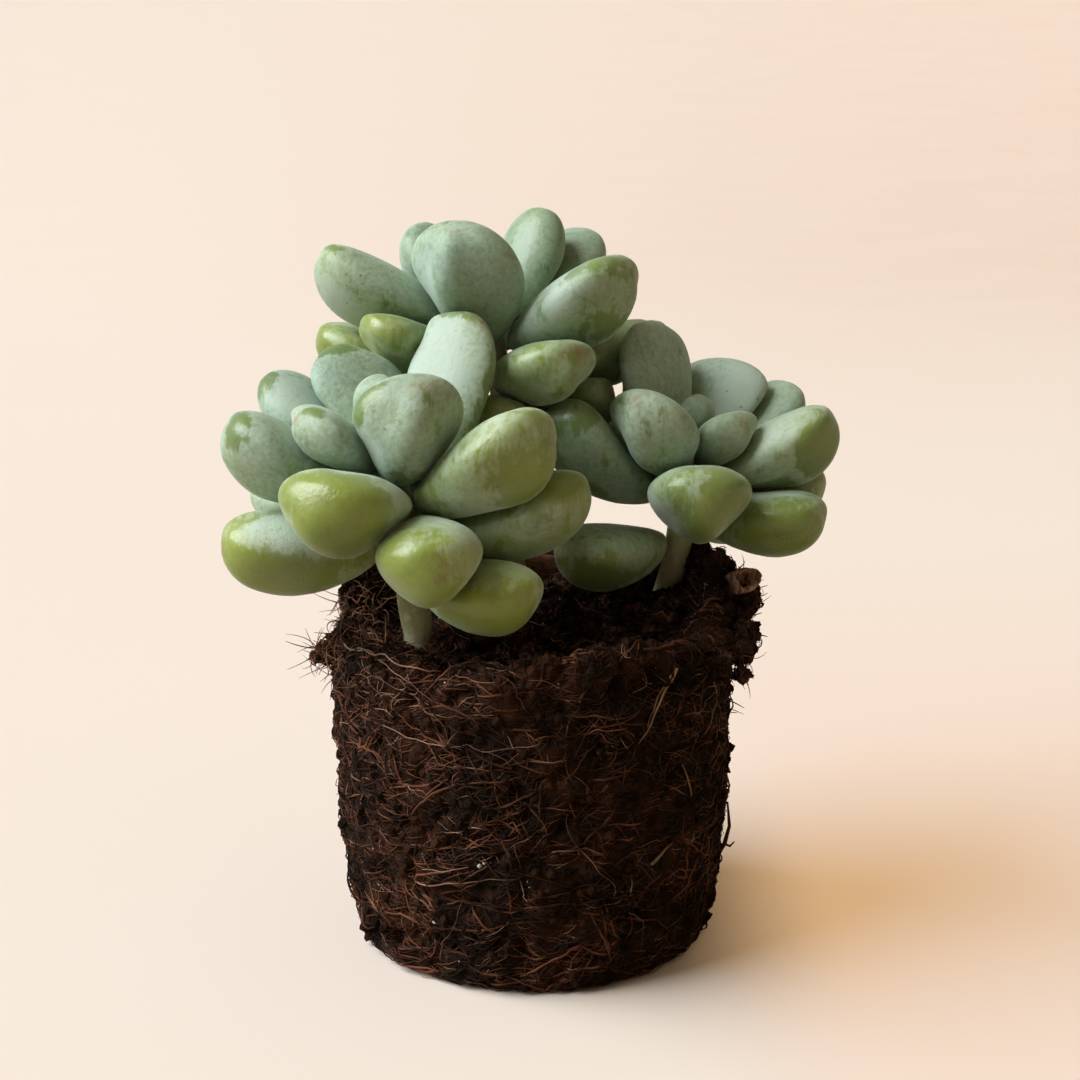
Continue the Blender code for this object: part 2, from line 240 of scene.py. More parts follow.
# Each clod's place and size, in millimetres
CLODS = [
    (24.6, 10.5, 46.6, 3.0), (23.0, 12.5, 48.6, 2.2), (26.6, 9.0, 45.4, 2.6),
    (25.0, 8.0, 48.8, 1.5), (28.0, 6.0, 43.8, 2.4), (29.4, 4.4, 45.0, 1.5),
    (29.4, 7.0, 46.2, 1.2), (28.4, 1.0, 41.4, 1.9), (27.2, -4.0, 39.6, 1.7),
    (27.9, -3.0, 36.4, 1.1), (27.4, -5.5, 37.2, 0.9), (24.0, -12.0, 41.0, 1.5),
    (21.0, 15.5, 46.0, 2.0), (19.5, 17.5, 46.6, 1.8), (-27.0, -5.0, 40.2, 1.5),
    (-28.4, -5.6, 39.8, 0.9), (-25.8, -1.0, 40.6, 1.5), (-24.0, 6.0, 46.0, 1.8),
    (-23.4, 9.0, 48.0, 1.6), (-21.0, 12.0, 48.4, 1.8), (-22.0, 2.0, 42.6, 1.6),
    (-10.4, -10.4, 43.2, 1.4), (-9.2, -11.6, 42.8, 1.0), (-11.6, -11.8, 42.6, 0.9),
    (-6.0, -8.0, 42.4, 1.3), (2.0, -10.0, 43.0, 1.5), (8.0, -4.0, 43.0, 1.6),
    (14.0, 2.0, 43.0, 1.7), (4.0, 6.0, 43.2, 1.5), (10.0, -14.0, 44.6, 1.5),
    (16.0, -8.0, 44.4, 1.5), (-3.0, -16.0, 43.6, 1.3), (12.0, 8.0, 43.6, 1.9),
    (8.0, 14.0, 44.6, 1.8), (0.0, -20.0, 44.6, 1.2), (18.0, 2.0, 43.8, 1.8),
    (-12.8, -10.8, 42.2, 0.9), (-16.4, -10.6, 42.0, 0.8), (-16.8, -7.6, 42.2, 0.9),
]
CLOD_CRUMBS = 7


def lump(shape, spot, size, chance, fineness=1):
    """One uneven lump at a place."""
    made = bmesh.ops.create_icosphere(shape, subdivisions=fineness, radius=size)
    shift = Vector((chance.uniform(0, 9), chance.uniform(0, 9), chance.uniform(0, 9)))
    for vert in made["verts"]:
        bulge = 1.0 + 0.50 * noise.noise(vert.co / size * 1.3 + shift)
        if fineness > 2:
            bulge += 0.45 * noise.noise(vert.co / size * 2.6 + shift)
            bulge += 0.28 * noise.noise(vert.co / size * 6.0 + shift)
            bulge += 0.14 * noise.noise(vert.co / size * 12.0 + shift)
        vert.co = spot + vert.co * max(0.15, bulge)
        vert.co.z = max(vert.co.z, 0.0)


clod_soil = Finish("clod_soil").set(Specular_IOR_Level=0.10)
clod_grain = clod_soil.noise(600.0, 5.0, 0.65)
clod_soil.colour(clod_soil.mix(
    clod_soil.fit(clod_grain, 0.40, 0.70), (0.016, 0.009, 0.006), (0.110, 0.046, 0.026)
))
clod_soil.roughness(0.9).relief(clod_grain, 0.0009)
clod_shape = bmesh.new()
chance = random.Random(15)
for x, y, z, size in CLODS:
    lump(clod_shape, Vector((x, y, z)) * MM, size * MM, chance, 4)
    for _ in range(CLOD_CRUMBS):
        offset = Vector([chance.gauss(0.0, 1.0) for _ in range(3)]).normalized() * size * 0.8
        crumb_size = chance.uniform(0.2, 0.5) * size * MM
        lump(clod_shape, (Vector((x, y, z)) + offset) * MM, crumb_size, chance, 3)
clods = piece(
    "soil_clods", mesh_from(clod_shape, "soil_clods", smooth=False),
    clod_soil.material, "root_ball",
)
firm_soil = bmesh.new()
firm_soil.from_mesh(ball_mesh)
firm_soil.from_mesh(clods.data)
ball_tree = BVHTree.FromBMesh(firm_soil)
firm_soil.free()


# ---- Root mat: fine coir fibres and hair roots pressed against the pot's wall, so they lie
# flat on the ball and mostly run round it.  They are bundled by colour, from nearly black
# to straw.

FIBRE_STEP = 0.8 * MM
HAIR_JOINTS = 7


def walk(start, heading, length, step, wander, lift, chance):
    """A fibre's points, following the ball's surface and arching off it in the middle."""
    points = []
    place = start
    count = max(3, round(length / step))
    turning = chance.gauss(0.0, wander * 0.45)
    for number in range(count + 1):
        spot, normal, _, _ = ball_tree.find_nearest(place)
        share = number / count
        rise = (0.04 * MM) + lift * math.sin(math.pi * share) ** 1.5
        points.append(spot + normal * rise)
        heading = (heading - normal * heading.dot(normal)).normalized()
        kink = turning + chance.gauss(0.0, wander)
        heading = (Matrix.Rotation(kink, 3, normal) @ heading).normalized()
        place = spot + heading * step
    return points


def start_on_ball(chance, on_top):
    """A place on the ball's wall, or on its top, with its normal."""
    turn = chance.uniform(-math.pi, math.pi)
    outward = Vector((math.sin(turn), -math.cos(turn), 0.0))
    if on_top:
        reach = 26.5 * MM * math.sqrt(chance.random())
        hit = ball_tree.ray_cast(outward * reach + Vector((0, 0, 0.08)), Vector((0, 0, -1)))
    else:
        height = chance.uniform(0.6, 46.0) * MM
        hit = ball_tree.ray_cast(outward * 0.06 + Vector((0, 0, height)), -outward)
    return hit[0], hit[1]


def strands(name, paths, material, slot="root_ball"):
    """Solid tapering threads along paths of (points, radius), as one piece."""
    line = bpy.data.curves.new(name, "CURVE")
    line.dimensions = "3D"
    line.bevel_depth = 1.0
    line.bevel_resolution = 0
    line.use_fill_caps = True
    for points, radius in paths:
        spline = line.splines.new("POLY")
        spline.points.add(len(points) - 1)
        for number, point in enumerate(points):
            share = number / (len(points) - 1)
            spline.points[number].co = (point[0], point[1], max(point[2], 0.15 * MM), 1.0)
            spline.points[number].radius = radius * (1.0 - 0.65 * share ** 2)
    maker = bpy.data.objects.new(name + "_line", line)
    bpy.context.scene.collection.objects.link(maker)
    bpy.context.view_layer.update()
    mesh = bpy.data.meshes.new_from_object(
        maker.evaluated_get(bpy.context.evaluated_depsgraph_get())
    )
    bpy.data.objects.remove(maker)
    mesh.polygons.foreach_set("use_smooth", [True] * len(mesh.polygons))
    return piece(name, mesh, material, slot)


def fibre_finish(name, dark, light):
    """A dull fibre's material, changing slowly between two browns along its length."""
    finish = Finish(name).set(Specular_IOR_Level=0.14)
    change = finish.noise(160.0, 2.0)
    finish.colour(finish.mix(finish.fit(change, 0.35, 0.65), dark, light))
    return finish.roughness(finish.fit(change, 0.3, 0.7, 0.85, 0.6)).material


# name, how many, share on top, shortest and longest, thinnest and thickest, wander, arch,
# level heading's spread, darkest and lightest colour
FIBRES = [
    ("mat_black_a", 2700, 0.20, 2.0, 6.0, 0.06, 0.15, 0.16, 0.55, 0.9,
     (0.0075, 0.0045, 0.0030), (0.024, 0.0120, 0.0070)),
    ("mat_black_b", 2700, 0.20, 2.0, 6.0, 0.05, 0.12, 0.20, 0.35, 0.7,
     (0.0100, 0.0055, 0.0035), (0.034, 0.0155, 0.0085)),
    ("mat_umber_a", 2700, 0.20, 2.0, 7.0, 0.05, 0.12, 0.13, 0.45, 0.7,
     (0.018, 0.0090, 0.0052), (0.058, 0.024, 0.013)),
    ("mat_umber_b", 2400, 0.20, 2.0, 8.0, 0.04, 0.09, 0.15, 0.50, 0.8,
     (0.030, 0.0120, 0.0065), (0.125, 0.044, 0.020)),
    ("mat_russet", 1500, 0.20, 2.0, 8.0, 0.035, 0.085, 0.13, 0.6, 0.8,
     (0.060, 0.022, 0.011), (0.290, 0.115, 0.056)),
    ("mat_cord", 700, 0.15, 4.0, 12.0, 0.10, 0.20, 0.07, 0.5, 0.6,
     (0.028, 0.011, 0.006), (0.165, 0.062, 0.031)),
    ("mat_tan", 260, 0.20, 2.0, 9.0, 0.03, 0.07, 0.11, 0.8, 0.8,
     (0.180, 0.095, 0.052), (0.330, 0.200, 0.125)),
    ("mat_straw", 90, 0.20, 1.5, 7.0, 0.03, 0.06, 0.16, 0.9, 1.1,
     (0.330, 0.230, 0.150), (0.520, 0.420, 0.320)),
]
for number, row in enumerate(FIBRES):
    name, many, topmost, short, long, thin, thick, wander, arch, spread, dark, light = row
    chance = random.Random(100 + number)
    paths = []
    for _ in range(many):
        start, normal = start_on_ball(chance, chance.random() < topmost)
        if start is None:
            continue
        level = Vector((0, 0, 1)).cross(normal)
        if level.length < 0.2:
            level = Vector((1, 0, 0))
        lean = chance.gauss(0.0, spread * 0.6)
        if chance.random() < 0.28:
            lean = chance.uniform(-math.pi, math.pi)
        heading = Matrix.Rotation(lean, 3, normal) @ level.normalized()
        if chance.random() < 0.5:
            heading = -heading
        length = (short + (long - short) * chance.random() ** 1.6) * MM
        lift = chance.random() ** 2 * arch * MM
        points = walk(start, heading, length, FIBRE_STEP, wander, lift, chance)
        paths.append((points, chance.uniform(thin, thick) * MM))
    strands(name, paths, fibre_finish(name, dark, light))


def loose_ends(name, starts, longest, thick, droop, seed, material):
    """Hairs that leave the ball and wave about in the air."""
    chance = random.Random(seed)
    paths = []
    for spot, normal in starts(chance):
        aim = (normal + Vector([chance.gauss(0.0, 0.55) for _ in range(3)])).normalized()
        swing = Vector([chance.gauss(0.0, 0.30) for _ in range(3)])
        step = chance.uniform(0.35, 1.0) * longest * MM / HAIR_JOINTS
        points = [spot - normal * 0.4 * MM]
        for _ in range(HAIR_JOINTS):
            points.append(points[-1] + aim * step)
            aim = (aim + swing + Vector((0, 0, -droop))).normalized()
        paths.append((points, chance.uniform(0.5, 1.0) * thick * MM))
    return strands(name, paths, material)


def all_round(chance):
    """Starts scattered over the whole ball, clear of the floor."""
    for _ in range(420):
        spot, normal = start_on_ball(chance, chance.random() < 0.12)
        if spot is not None and spot.z > 2.0 * MM:
            yield spot, normal


def near(places, many, blur):
    """Starts scattered about given places, in millimetres, on the ball's surface."""
    def starts(chance):
        for _ in range(many):
            x, y, z = chance.choice(places)
            guess = Vector([value + chance.gauss(0.0, blur) for value in (x, y, z)]) * MM
            spot, normal, _, _ = ball_tree.find_nearest(guess)
            yield spot, normal
    return starts


russet_hair = fibre_finish("russet_hair", (0.085, 0.036, 0.020), (0.210, 0.095, 0.050))
umber_hair = fibre_finish("umber_hair", (0.024, 0.012, 0.009), (0.070, 0.030, 0.018))
# The top-left hairs face the window and get a lighter brown copy of the hair colour: painted
# light.
lit_hair = fibre_finish("lit_hair", (0.075, 0.034, 0.020), (0.260, 0.135, 0.075))
tan_hair = fibre_finish("tan_hair", (0.260, 0.150, 0.090), (0.450, 0.300, 0.190))
loose_ends("loose_umber", all_round, 1.9, 0.10, 0.12, 31, umber_hair)
loose_ends("loose_russet", near([
    (-27, -6, 40), (-28, -6, 41), (-26, -10, 42), (-26, 2, 43), (-24, 8, 46), (-28, -5, 39),
], 60, 1.2), 6.5, 0.11, 0.0, 32, russet_hair)
loose_ends("loose_top_left", near([
    (-22, 6, 46), (-20, 10, 47), (-24, 2, 43), (-18, -14, 42), (-22, -8, 41),
], 300, 2.4), 5.0, 0.11, 0.12, 33, lit_hair)
loose_ends("loose_right", near([
    (27, 4, 46), (29, 8, 45), (26, 12, 49), (28, -2, 42), (27, -8, 40), (27, -6, 37),
], 150, 2.2), 3.2, 0.10, 0.04, 34, umber_hair)


# ---- Hero roots: the few long pale runners, dry straws and the splinter that stand out on
# the front of the mat, each laid along the wall through its own places.

def on_front(across, height):
    """The place on the front of the wall at a sideways distance and a height, millimetres."""
    front = -math.sqrt(max(0.0, 27.0 ** 2 - across ** 2))
    hit = ball_tree.ray_cast(Vector((across * MM, -0.07, height * MM)), Vector((0, 1, 0)))
    if hit[0] is None or hit[0].y > (front + 8.0) * MM:
        hit = ball_tree.find_nearest(Vector((across, front, height)) * MM)
    return hit[0], hit[1]


def laid(stations, lift, seed, wobble):
    """A root's points through (across, height) stations on the front of the wall."""
    chance = random.Random(seed)
    points = []
    for (x0, z0), (x1, z1) in zip(stations, stations[1:]):
        count = max(2, round(math.hypot(x1 - x0, z1 - z0) / 0.7))
        for number in range(count):
            share = number / count
            spot, normal = on_front(
                x0 + (x1 - x0) * share + chance.gauss(0.0, wobble * 0.5),
                z0 + (z1 - z0) * share + chance.gauss(0.0, wobble),
            )
            points.append(spot + normal * lift * MM)
    smooth = [points[0]]
    for before, here, after in zip(points, points[1:], points[2:]):
        smooth.append((before + here * 2 + after) / 4)
    return smooth + [points[-1]]


# Each root's (across, height) stations, lift off the wall, seed, wobble and thickness
RUNNERS = [
    ([(-25.6, 43.8), (-20.5, 43.8), (-16.5, 43.2), (-10.6, 42.9), (-2.4, 42.7)],
     0.45, 1, 0.25, 0.13),
    ([(-24.5, 43.8), (-20.0, 43.6), (-15.5, 41.8), (-11.8, 39.6)], 0.4, 2, 0.25, 0.11),
    ([(-22.0, 41.2), (-16.0, 40.5), (-11.0, 37.0), (-9.0, 32.1)], 0.4, 3, 0.25, 0.08),
    ([(2.2, 20.7), (4.6, 21.2), (7.6, 19.0), (10.0, 15.4), (10.4, 13.5)],
     0.6, 4, 0.15, 0.10),
    ([(4.4, 20.9), (7.2, 20.9), (9.4, 19.4)], 0.6, 5, 0.15, 0.07),
    ([(5.6, 20.4), (4.4, 23.8), (4.0, 26.7)], 0.5, 6, 0.15, 0.06),
    ([(-14.7, 14.6), (-9.6, 15.7), (-4.6, 16.8), (-0.8, 17.6)], 0.4, 7, 0.12, 0.11),
    ([(-14.0, 16.3), (-10.0, 17.4), (-7.0, 18.1)], 0.4, 8, 0.15, 0.07),
    ([(-11.5, 5.8), (-9.8, 9.7), (-8.4, 14.3)], 0.5, 9, 0.15, 0.07),
    ([(12.0, 10.6), (14.2, 9.1), (13.6, 6.2)], 0.5, 10, 0.2, 0.06),
    ([(-6.0, 33.9), (-1.0, 34.8), (2.6, 35.5)], 0.4, 11, 0.12, 0.07),
    ([(-18.5, 34.8), (-13.0, 33.7), (-8.4, 34.4), (-2.0, 33.0)], 0.4, 12, 0.25, 0.09),
]
STRAWS = [
    ([(17.7, 42.9), (12.8, 33.2)], 0.5, 21, 0.05, 0.20),
    ([(16.9, 42.1), (13.6, 35.4)], 0.4, 22, 0.05, 0.11),
    ([(14.8, 17.2), (18.3, 19.6)], 0.5, 23, 0.05, 0.26),
    ([(20.0, 24.9), (18.8, 30.0)], 0.4, 24, 0.05, 0.14),
]


def laid_out(rows):
    return [
        (laid(stations, lift, seed, wobble), thick * MM)
        for stations, lift, seed, wobble, thick in rows
    ]


strands("runner_roots", laid_out(RUNNERS),
        fibre_finish("root_skin", (0.110, 0.055, 0.034), (0.330, 0.190, 0.120)))
chance = random.Random(41)
tangle = []
for number in range(16):
    x, z = -18.0 + chance.gauss(0.0, 1.6), 39.4 + chance.gauss(0.0, 0.9)
    turn = chance.uniform(0.0, math.tau)
    bend = chance.uniform(-1.2, 1.2)
    tangle.append((laid([
        (x, z), (x + 1.5 * math.cos(turn), z + math.sin(turn)),
        (x + 3.0 * math.cos(turn + bend), z + 2.0 * math.sin(turn + bend)),
    ], 0.5, 50 + number, 0.12), 0.055 * MM))
strands("root_tangle", tangle, tan_hair)
strands("dry_straws", laid_out(STRAWS),
        fibre_finish("straw_skin", (0.180, 0.095, 0.055), (0.330, 0.190, 0.110)))
strands("splinter", [
    ([Vector(place) * MM for place in (
        (25.0, -1.0, 9.0), (26.3, -1.0, 11.5), (26.9, -1.0, 14.0), (26.6, -0.6, 17.4),
    )], 0.34 * MM),
    ([Vector(place) * MM for place in (
        (26.0, -1.2, 11.6), (27.0, -1.4, 11.2), (27.6, -1.5, 11.9),
    )], 0.22 * MM),
], umber_hair)


# ---- Crumbs and perlite: loose peat crumbs cling to the ball and lie on its top, with the
# small white grains of perlite that growers mix in.

# Pebbles on the front of the wall: across, height and size, in millimetres
PEBBLES = [
    (-6.6, 18.4, 0.30), (-6.1, 18.9, 0.18), (-0.6, 16.6, 0.18), (-0.4, 15.8, 0.14),
    (-12.6, 9.3, 0.24), (-9.4, 4.2, 0.16), (3.2, 42.6, 0.14), (-10.8, 42.0, 0.13),
]


def grains(name, many, topmost, small, large, material, seed, sink):
    """Small uneven lumps half sunk in the peat."""
    chance = random.Random(seed)
    shape = bmesh.new()
    for _ in range(many):
        spot, normal = start_on_ball(chance, chance.random() < topmost)
        if spot is None:
            continue
        size = (small + (large - small) * chance.random() ** 2) * MM
        lump(shape, spot + normal * size * sink, size, chance)
    return piece(name, mesh_from(shape, name, smooth=False), material, "root_ball")


grains("peat_crumbs", 2600, 0.45, 0.18, 0.85, peat.material, 7, 0.1)
perlite = Finish("perlite").set(Specular_IOR_Level=0.4)
perlite_pores = perlite.noise(1500.0, 3.0)
perlite.colour(perlite.mix(
    perlite.fit(perlite_pores, 0.3, 0.7), (0.45, 0.42, 0.38), (0.80, 0.78, 0.74)
))
perlite.roughness(0.8).relief(perlite_pores, 0.0002)
grains("perlite_grains", 90, 0.25, 0.05, 0.17, perlite.material, 12, 0.35)
perlite_shape = bmesh.new()
chance = random.Random(14)
for x, z, size in PEBBLES:
    spot, normal = on_front(x, z)
    lump(perlite_shape, spot + normal * size * 0.3 * MM, size * MM, chance, 2)
piece("perlite_pebbles", mesh_from(perlite_shape, "perlite_pebbles", smooth=False),
      perlite.material, "root_ball")


# ---- Stems: three short smooth grey-green stems, bare below the leaves, with the faint
# rings of old leaf scars.  Each stands in the ball and carries one rosette.

stem_skin = Finish("stem_skin").set(Specular_IOR_Level=0.4)
stem_blotch = stem_skin.noise(130.0, 3.0)
stem_fine = stem_skin.noise(900.0, 3.0)
stem_green = stem_skin.mix(
    stem_skin.fit(stem_blotch, 0.35, 0.65), (0.34, 0.38, 0.17), (0.46, 0.42, 0.26)
)
stem_pale = stem_skin.mix(stem_skin.fit(stem_fine, 0.5, 0.75), stem_green, (0.58, 0.56, 0.42))
stem_skin.colour(stem_pale).roughness(0.55).relief(stem_fine, 0.00012)
for name in ("stem_left", "stem_right", "stem_back"):
    stem_mesh = mesh_from(welded_copy(name), name + "_skin")
    stem = piece(name + "_skin", stem_mesh, stem_skin.material, "stem", name)
    rounding = stem.modifiers.new("rounding", "SUBSURF")
    rounding.levels = rounding.render_levels = 2


# ---- Leaves: plump, club-shaped and keeled below, full of water and covered in a pale waxy
# bloom that rubs off green.  Lower leaves are yellower.  Each is pressed against its
# neighbours and joins its stem at its narrow end.

# rosette's leaves in order: yellowness, bloom, rubbed share, keel
LEAF_TINTS = {
    "left": [
        (0.70, 0.48, 0.55, 0.4), (0.15, 0.78, 0.14, 1.0), (0.10, 0.80, 0.08, 0.8),
        (0.06, 0.74, 0.05, 0.4), (0.05, 0.80, 0.00, 0.4), (0.15, 0.95, 0.05, 0.3),
        (0.15, 0.82, 0.12, 0.8), (0.20, 0.84, 0.14, 0.6), (0.66, 0.60, 0.38, 1.0),
        (0.48, 0.50, 0.30, 0.8), (0.66, 0.60, 0.45, 0.6), (0.72, 0.50, 0.38, 0.25),
        (0.85, 0.52, 0.36, 0.3), (0.35, 0.75, 0.15, 0.6), (0.30, 0.70, 0.20, 0.8),
        (0.60, 0.50, 0.30, 0.8), (0.50, 0.50, 0.30, 0.8),
    ],
    "right": [
        (0.08, 0.90, 0.06, 0.8), (0.00, 1.00, 0.00, 0.8), (0.12, 0.78, 0.10, 0.6),
        (0.03, 0.76, 0.00, 0.4), (0.06, 0.72, 0.06, 0.6), (0.10, 0.86, 0.15, 0.9),
        (0.35, 0.74, 0.25, 1.0), (0.45, 0.60, 0.42, 0.9), (0.50, 0.50, 0.42, 0.8),
        (0.55, 0.40, 0.40, 0.6), (0.12, 0.56, 0.20, 0.6), (0.52, 0.66, 0.34, 0.3),
        (0.40, 0.60, 0.20, 0.8), (0.50, 0.55, 0.30, 0.8), (0.60, 0.50, 0.30, 0.8),
    ],
    "back": [
        (0.05, 0.74, 0.06, 1.3), (0.18, 0.78, 0.14, 0.8), (0.60, 0.35, 0.50, 0.8),
        (0.75, 0.50, 0.40, 0.6), (0.10, 0.66, 0.08, 0.4), (0.10, 0.48, 0.14, 0.6),
        (0.12, 0.60, 0.08, 0.5), (0.30, 0.64, 0.32, 1.2), (0.38, 0.52, 0.35, 1.0),
        (0.40, 0.42, 0.30, 0.6), (0.40, 0.40, 0.35, 0.6), (0.25, 0.70, 0.20, 0.9),
        (0.40, 0.65, 0.20, 0.9), (0.50, 0.55, 0.30, 0.8), (0.60, 0.50, 0.30, 0.8),
        (0.55, 0.45, 0.30, 0.8),
    ],
}

# Marks on single leaves: leaf, kind, where along it (0 base, 1 tip) and how far it runs,
# which side of the leaf (right, away, up) and how wide in degrees, strength.
# The pale marks are partly paler, thicker bloom and partly painted highlights, where the window's
# reflection lies on the wax.
LEAF_MARKS = [
    ("left_leaf_01", "pale", 0.72, 0.28, (-0.6, -0.2, 0.8), 40, 1.0),
    ("left_leaf_01", "pale", 0.45, 0.30, (1.0, -0.2, 0.1), 36, 0.8),
    ("left_leaf_01", "pale", 0.55, 0.25, (0.2, 0.0, 1.0), 35, 0.7),
    ("left_leaf_01", "green", 0.85, 0.35, (0.1, -0.5, -0.3), 80, 0.5),
    ("left_leaf_02", "green", 0.74, 0.24, (-0.95, -0.3, 0.2), 24, 0.55),
    ("left_leaf_02", "green", 0.30, 0.15, (0.2, -0.9, -0.3), 40, 0.35),
    ("left_leaf_02", "pale", 0.86, 0.10, (-0.1, -0.9, 0.2), 35, 1.0),
    ("left_leaf_02", "pale", 0.35, 0.30, (-0.9, -0.4, -0.4), 40, 0.8),
    ("left_leaf_02", "brown", 0.98, 0.06, (0.4, -0.5, 0.5), 80, 0.6),
    ("left_leaf_03", "green", 0.95, 0.09, (0.3, -0.4, 0.6), 50, 0.7),
    ("left_leaf_03", "pale", 0.55, 0.35, (-0.8, -0.3, 0.3), 50, 0.7),
    ("left_leaf_04", "green", 0.97, 0.08, (0.0, -0.5, 0.5), 180, 0.6),
    ("left_leaf_06", "green", 0.62, 0.50, (1.0, 0.0, -0.1), 48, 1.2),
    ("left_leaf_06", "green", 1.00, 0.07, (0.0, -0.5, 0.5), 180, 0.45),
    ("left_leaf_06", "pale", 0.55, 0.45, (-0.5, -0.8, 0.2), 60, 1.0),
    ("left_leaf_06", "brown", 0.95, 0.06, (0.8, -0.3, 0.3), 40, 0.5),
    ("left_leaf_07", "green", 0.97, 0.10, (-0.2, -0.6, 0.4), 80, 0.7),
    ("left_leaf_07", "pale", 0.55, 0.25, (0.0, -0.3, 1.0), 50, 0.6),
    ("left_leaf_08", "green", 0.92, 0.12, (-0.5, -0.5, 0.5), 45, 0.7),
    ("left_leaf_08", "pale", 0.60, 0.35, (0.4, -0.7, 0.2), 60, 1.0),
    ("left_leaf_09", "green", 0.78, 0.34, (0.7, -0.6, 0.0), 62, 1.35),
    ("left_leaf_09", "pale", 0.45, 0.35, (-0.4, -0.3, -0.9), 50, 0.9),
    ("left_leaf_09", "pale", 0.88, 0.10, (-0.5, -0.5, 0.5), 24, 0.6),
    ("left_leaf_10", "green", 0.84, 0.30, (0.0, -0.5, 0.8), 70, 0.9),
    ("left_leaf_10", "pale", 0.70, 0.18, (0.0, -1.0, -0.1), 35, 0.5),
    ("left_leaf_11", "pale", 0.58, 0.32, (0.1, -0.8, 0.7), 40, 1.2),
    ("left_leaf_11", "green", 0.72, 0.40, (-0.1, -0.8, -0.6), 50, 0.8),
    ("left_leaf_12", "green", 0.78, 0.38, (-0.4, -0.6, -0.5), 75, 1.0),
    ("left_leaf_12", "pale", 0.70, 0.35, (0.7, -0.2, 0.7), 40, 0.45),
    ("left_leaf_13", "brown", 0.72, 0.05, (-0.2, -0.8, 0.5), 16, 1.0),
    ("left_leaf_13", "green", 0.75, 0.38, (0.0, -0.6, -0.6), 75, 0.8),
    ("back_leaf_01", "green", 0.92, 0.09, (-0.3, -0.9, 0.2), 30, 1.1),
    ("back_leaf_01", "pale", 0.50, 0.40, (-0.9, -0.3, 0.0), 40, 0.8),
    ("back_leaf_02", "green", 0.78, 0.24, (-0.2, -1.0, 0.1), 26, 0.52),
    ("back_leaf_02", "green", 0.96, 0.07, (0.0, -0.4, 0.8), 50, 0.5),
    ("back_leaf_02", "pale", 0.60, 0.35, (-0.3, -0.6, -0.8), 45, 0.7),
    ("back_leaf_08", "green", 0.82, 0.26, (0.2, -0.6, 0.8), 62, 1.15),
    ("back_leaf_08", "green", 0.78, 0.14, (0.7, -0.6, -0.3), 40, 1.0),
    ("back_leaf_08", "pale", 0.45, 0.40, (-0.6, -0.7, 0.2), 50, 0.6),
    ("back_leaf_09", "green", 0.80, 0.30, (0.3, -0.6, 0.6), 70, 1.1),
    ("back_leaf_09", "brown", 0.99, 0.05, (0.7, -0.5, 0.5), 90, 0.7),
    ("back_leaf_09", "pale", 0.45, 0.30, (-0.4, -0.7, 0.3), 50, 0.6),
    ("right_leaf_01", "green", 0.60, 0.35, (-1.0, -0.1, 0.0), 30, 0.45),
    ("right_leaf_01", "brown", 1.00, 0.04, (0.0, -0.5, 0.5), 180, 0.4),
    ("right_leaf_02", "pale", 0.50, 0.45, (0.5, -0.8, 0.2), 50, 0.5),
    ("right_leaf_06", "pale", 0.92, 0.14, (0.0, -0.8, 0.3), 60, 0.6),
    ("right_leaf_06", "green", 0.55, 0.25, (-0.3, -0.9, -0.2), 45, 0.3),
    ("right_leaf_07", "green", 0.86, 0.20, (0.4, -0.7, -0.3), 60, 1.2),
    ("right_leaf_07", "green", 0.45, 0.16, (0.2, -0.4, -0.9), 35, 0.8),
    ("right_leaf_07", "pale", 0.60, 0.30, (-0.2, -0.6, 0.7), 45, 0.4),
    ("right_leaf_08", "green", 0.75, 0.60, (0.7, -0.3, -0.2), 95, 1.1),
    ("right_leaf_08", "pale", 0.50, 0.35, (-1.0, -0.2, -0.4), 34, 1.0),
    ("right_leaf_08", "pale", 0.55, 0.25, (0.0, 0.0, 1.0), 35, 0.6),
    ("right_leaf_09", "green", 0.74, 0.38, (0.2, -0.8, -0.4), 65, 1.0),
    ("right_leaf_09", "pale", 0.50, 0.35, (0.0, -0.2, 1.0), 40, 0.6),
    ("right_leaf_11", "green", 0.90, 0.12, (0.0, -0.5, 0.7), 70, 0.7),
    ("right_leaf_11", "green", 0.50, 0.22, (-0.7, -0.4, -0.6), 40, 0.8),
    ("right_leaf_12", "green", 0.70, 0.35, (-0.2, -0.8, -0.4), 50, 0.5),
]

leaf_skin = Finish("leaf_skin").set(
    Specular_IOR_Level=0.55, Subsurface_Weight=0.10, Subsurface_Scale=0.0015,
    Sheen_Weight=0.20, Sheen_Roughness=0.4, Coat_Roughness=0.22,
)
leaf_skin.shader.inputs["Subsurface Radius"].default_value = (0.7, 1.0, 0.25)
leaf_skin.shader.inputs["Sheen Tint"].default_value = (0.85, 1.0, 0.85, 1.0)
along = leaf_skin.grown("along")
yellowness = leaf_skin.grown("yellowness")
bloom = leaf_skin.grown("bloom")
rubbing = leaf_skin.grown("rubbing")
paling_and_sheen = leaf_skin.grown("paling_and_sheen")
browning = leaf_skin.grown("browning")
broad = leaf_skin.noise(75.0, 2.0, 0.5)
patch = leaf_skin.noise(210.0, 5.0, 0.65, distort=0.5)
grain = leaf_skin.noise(1400.0, 4.0, 0.65)
mottle = leaf_skin.noise(480.0, 4.0, 0.7)
streaks = leaf_skin.noise(1.0, 4.0, 0.65, place=leaf_skin.stretched((1100.0, 500.0, 220.0)))

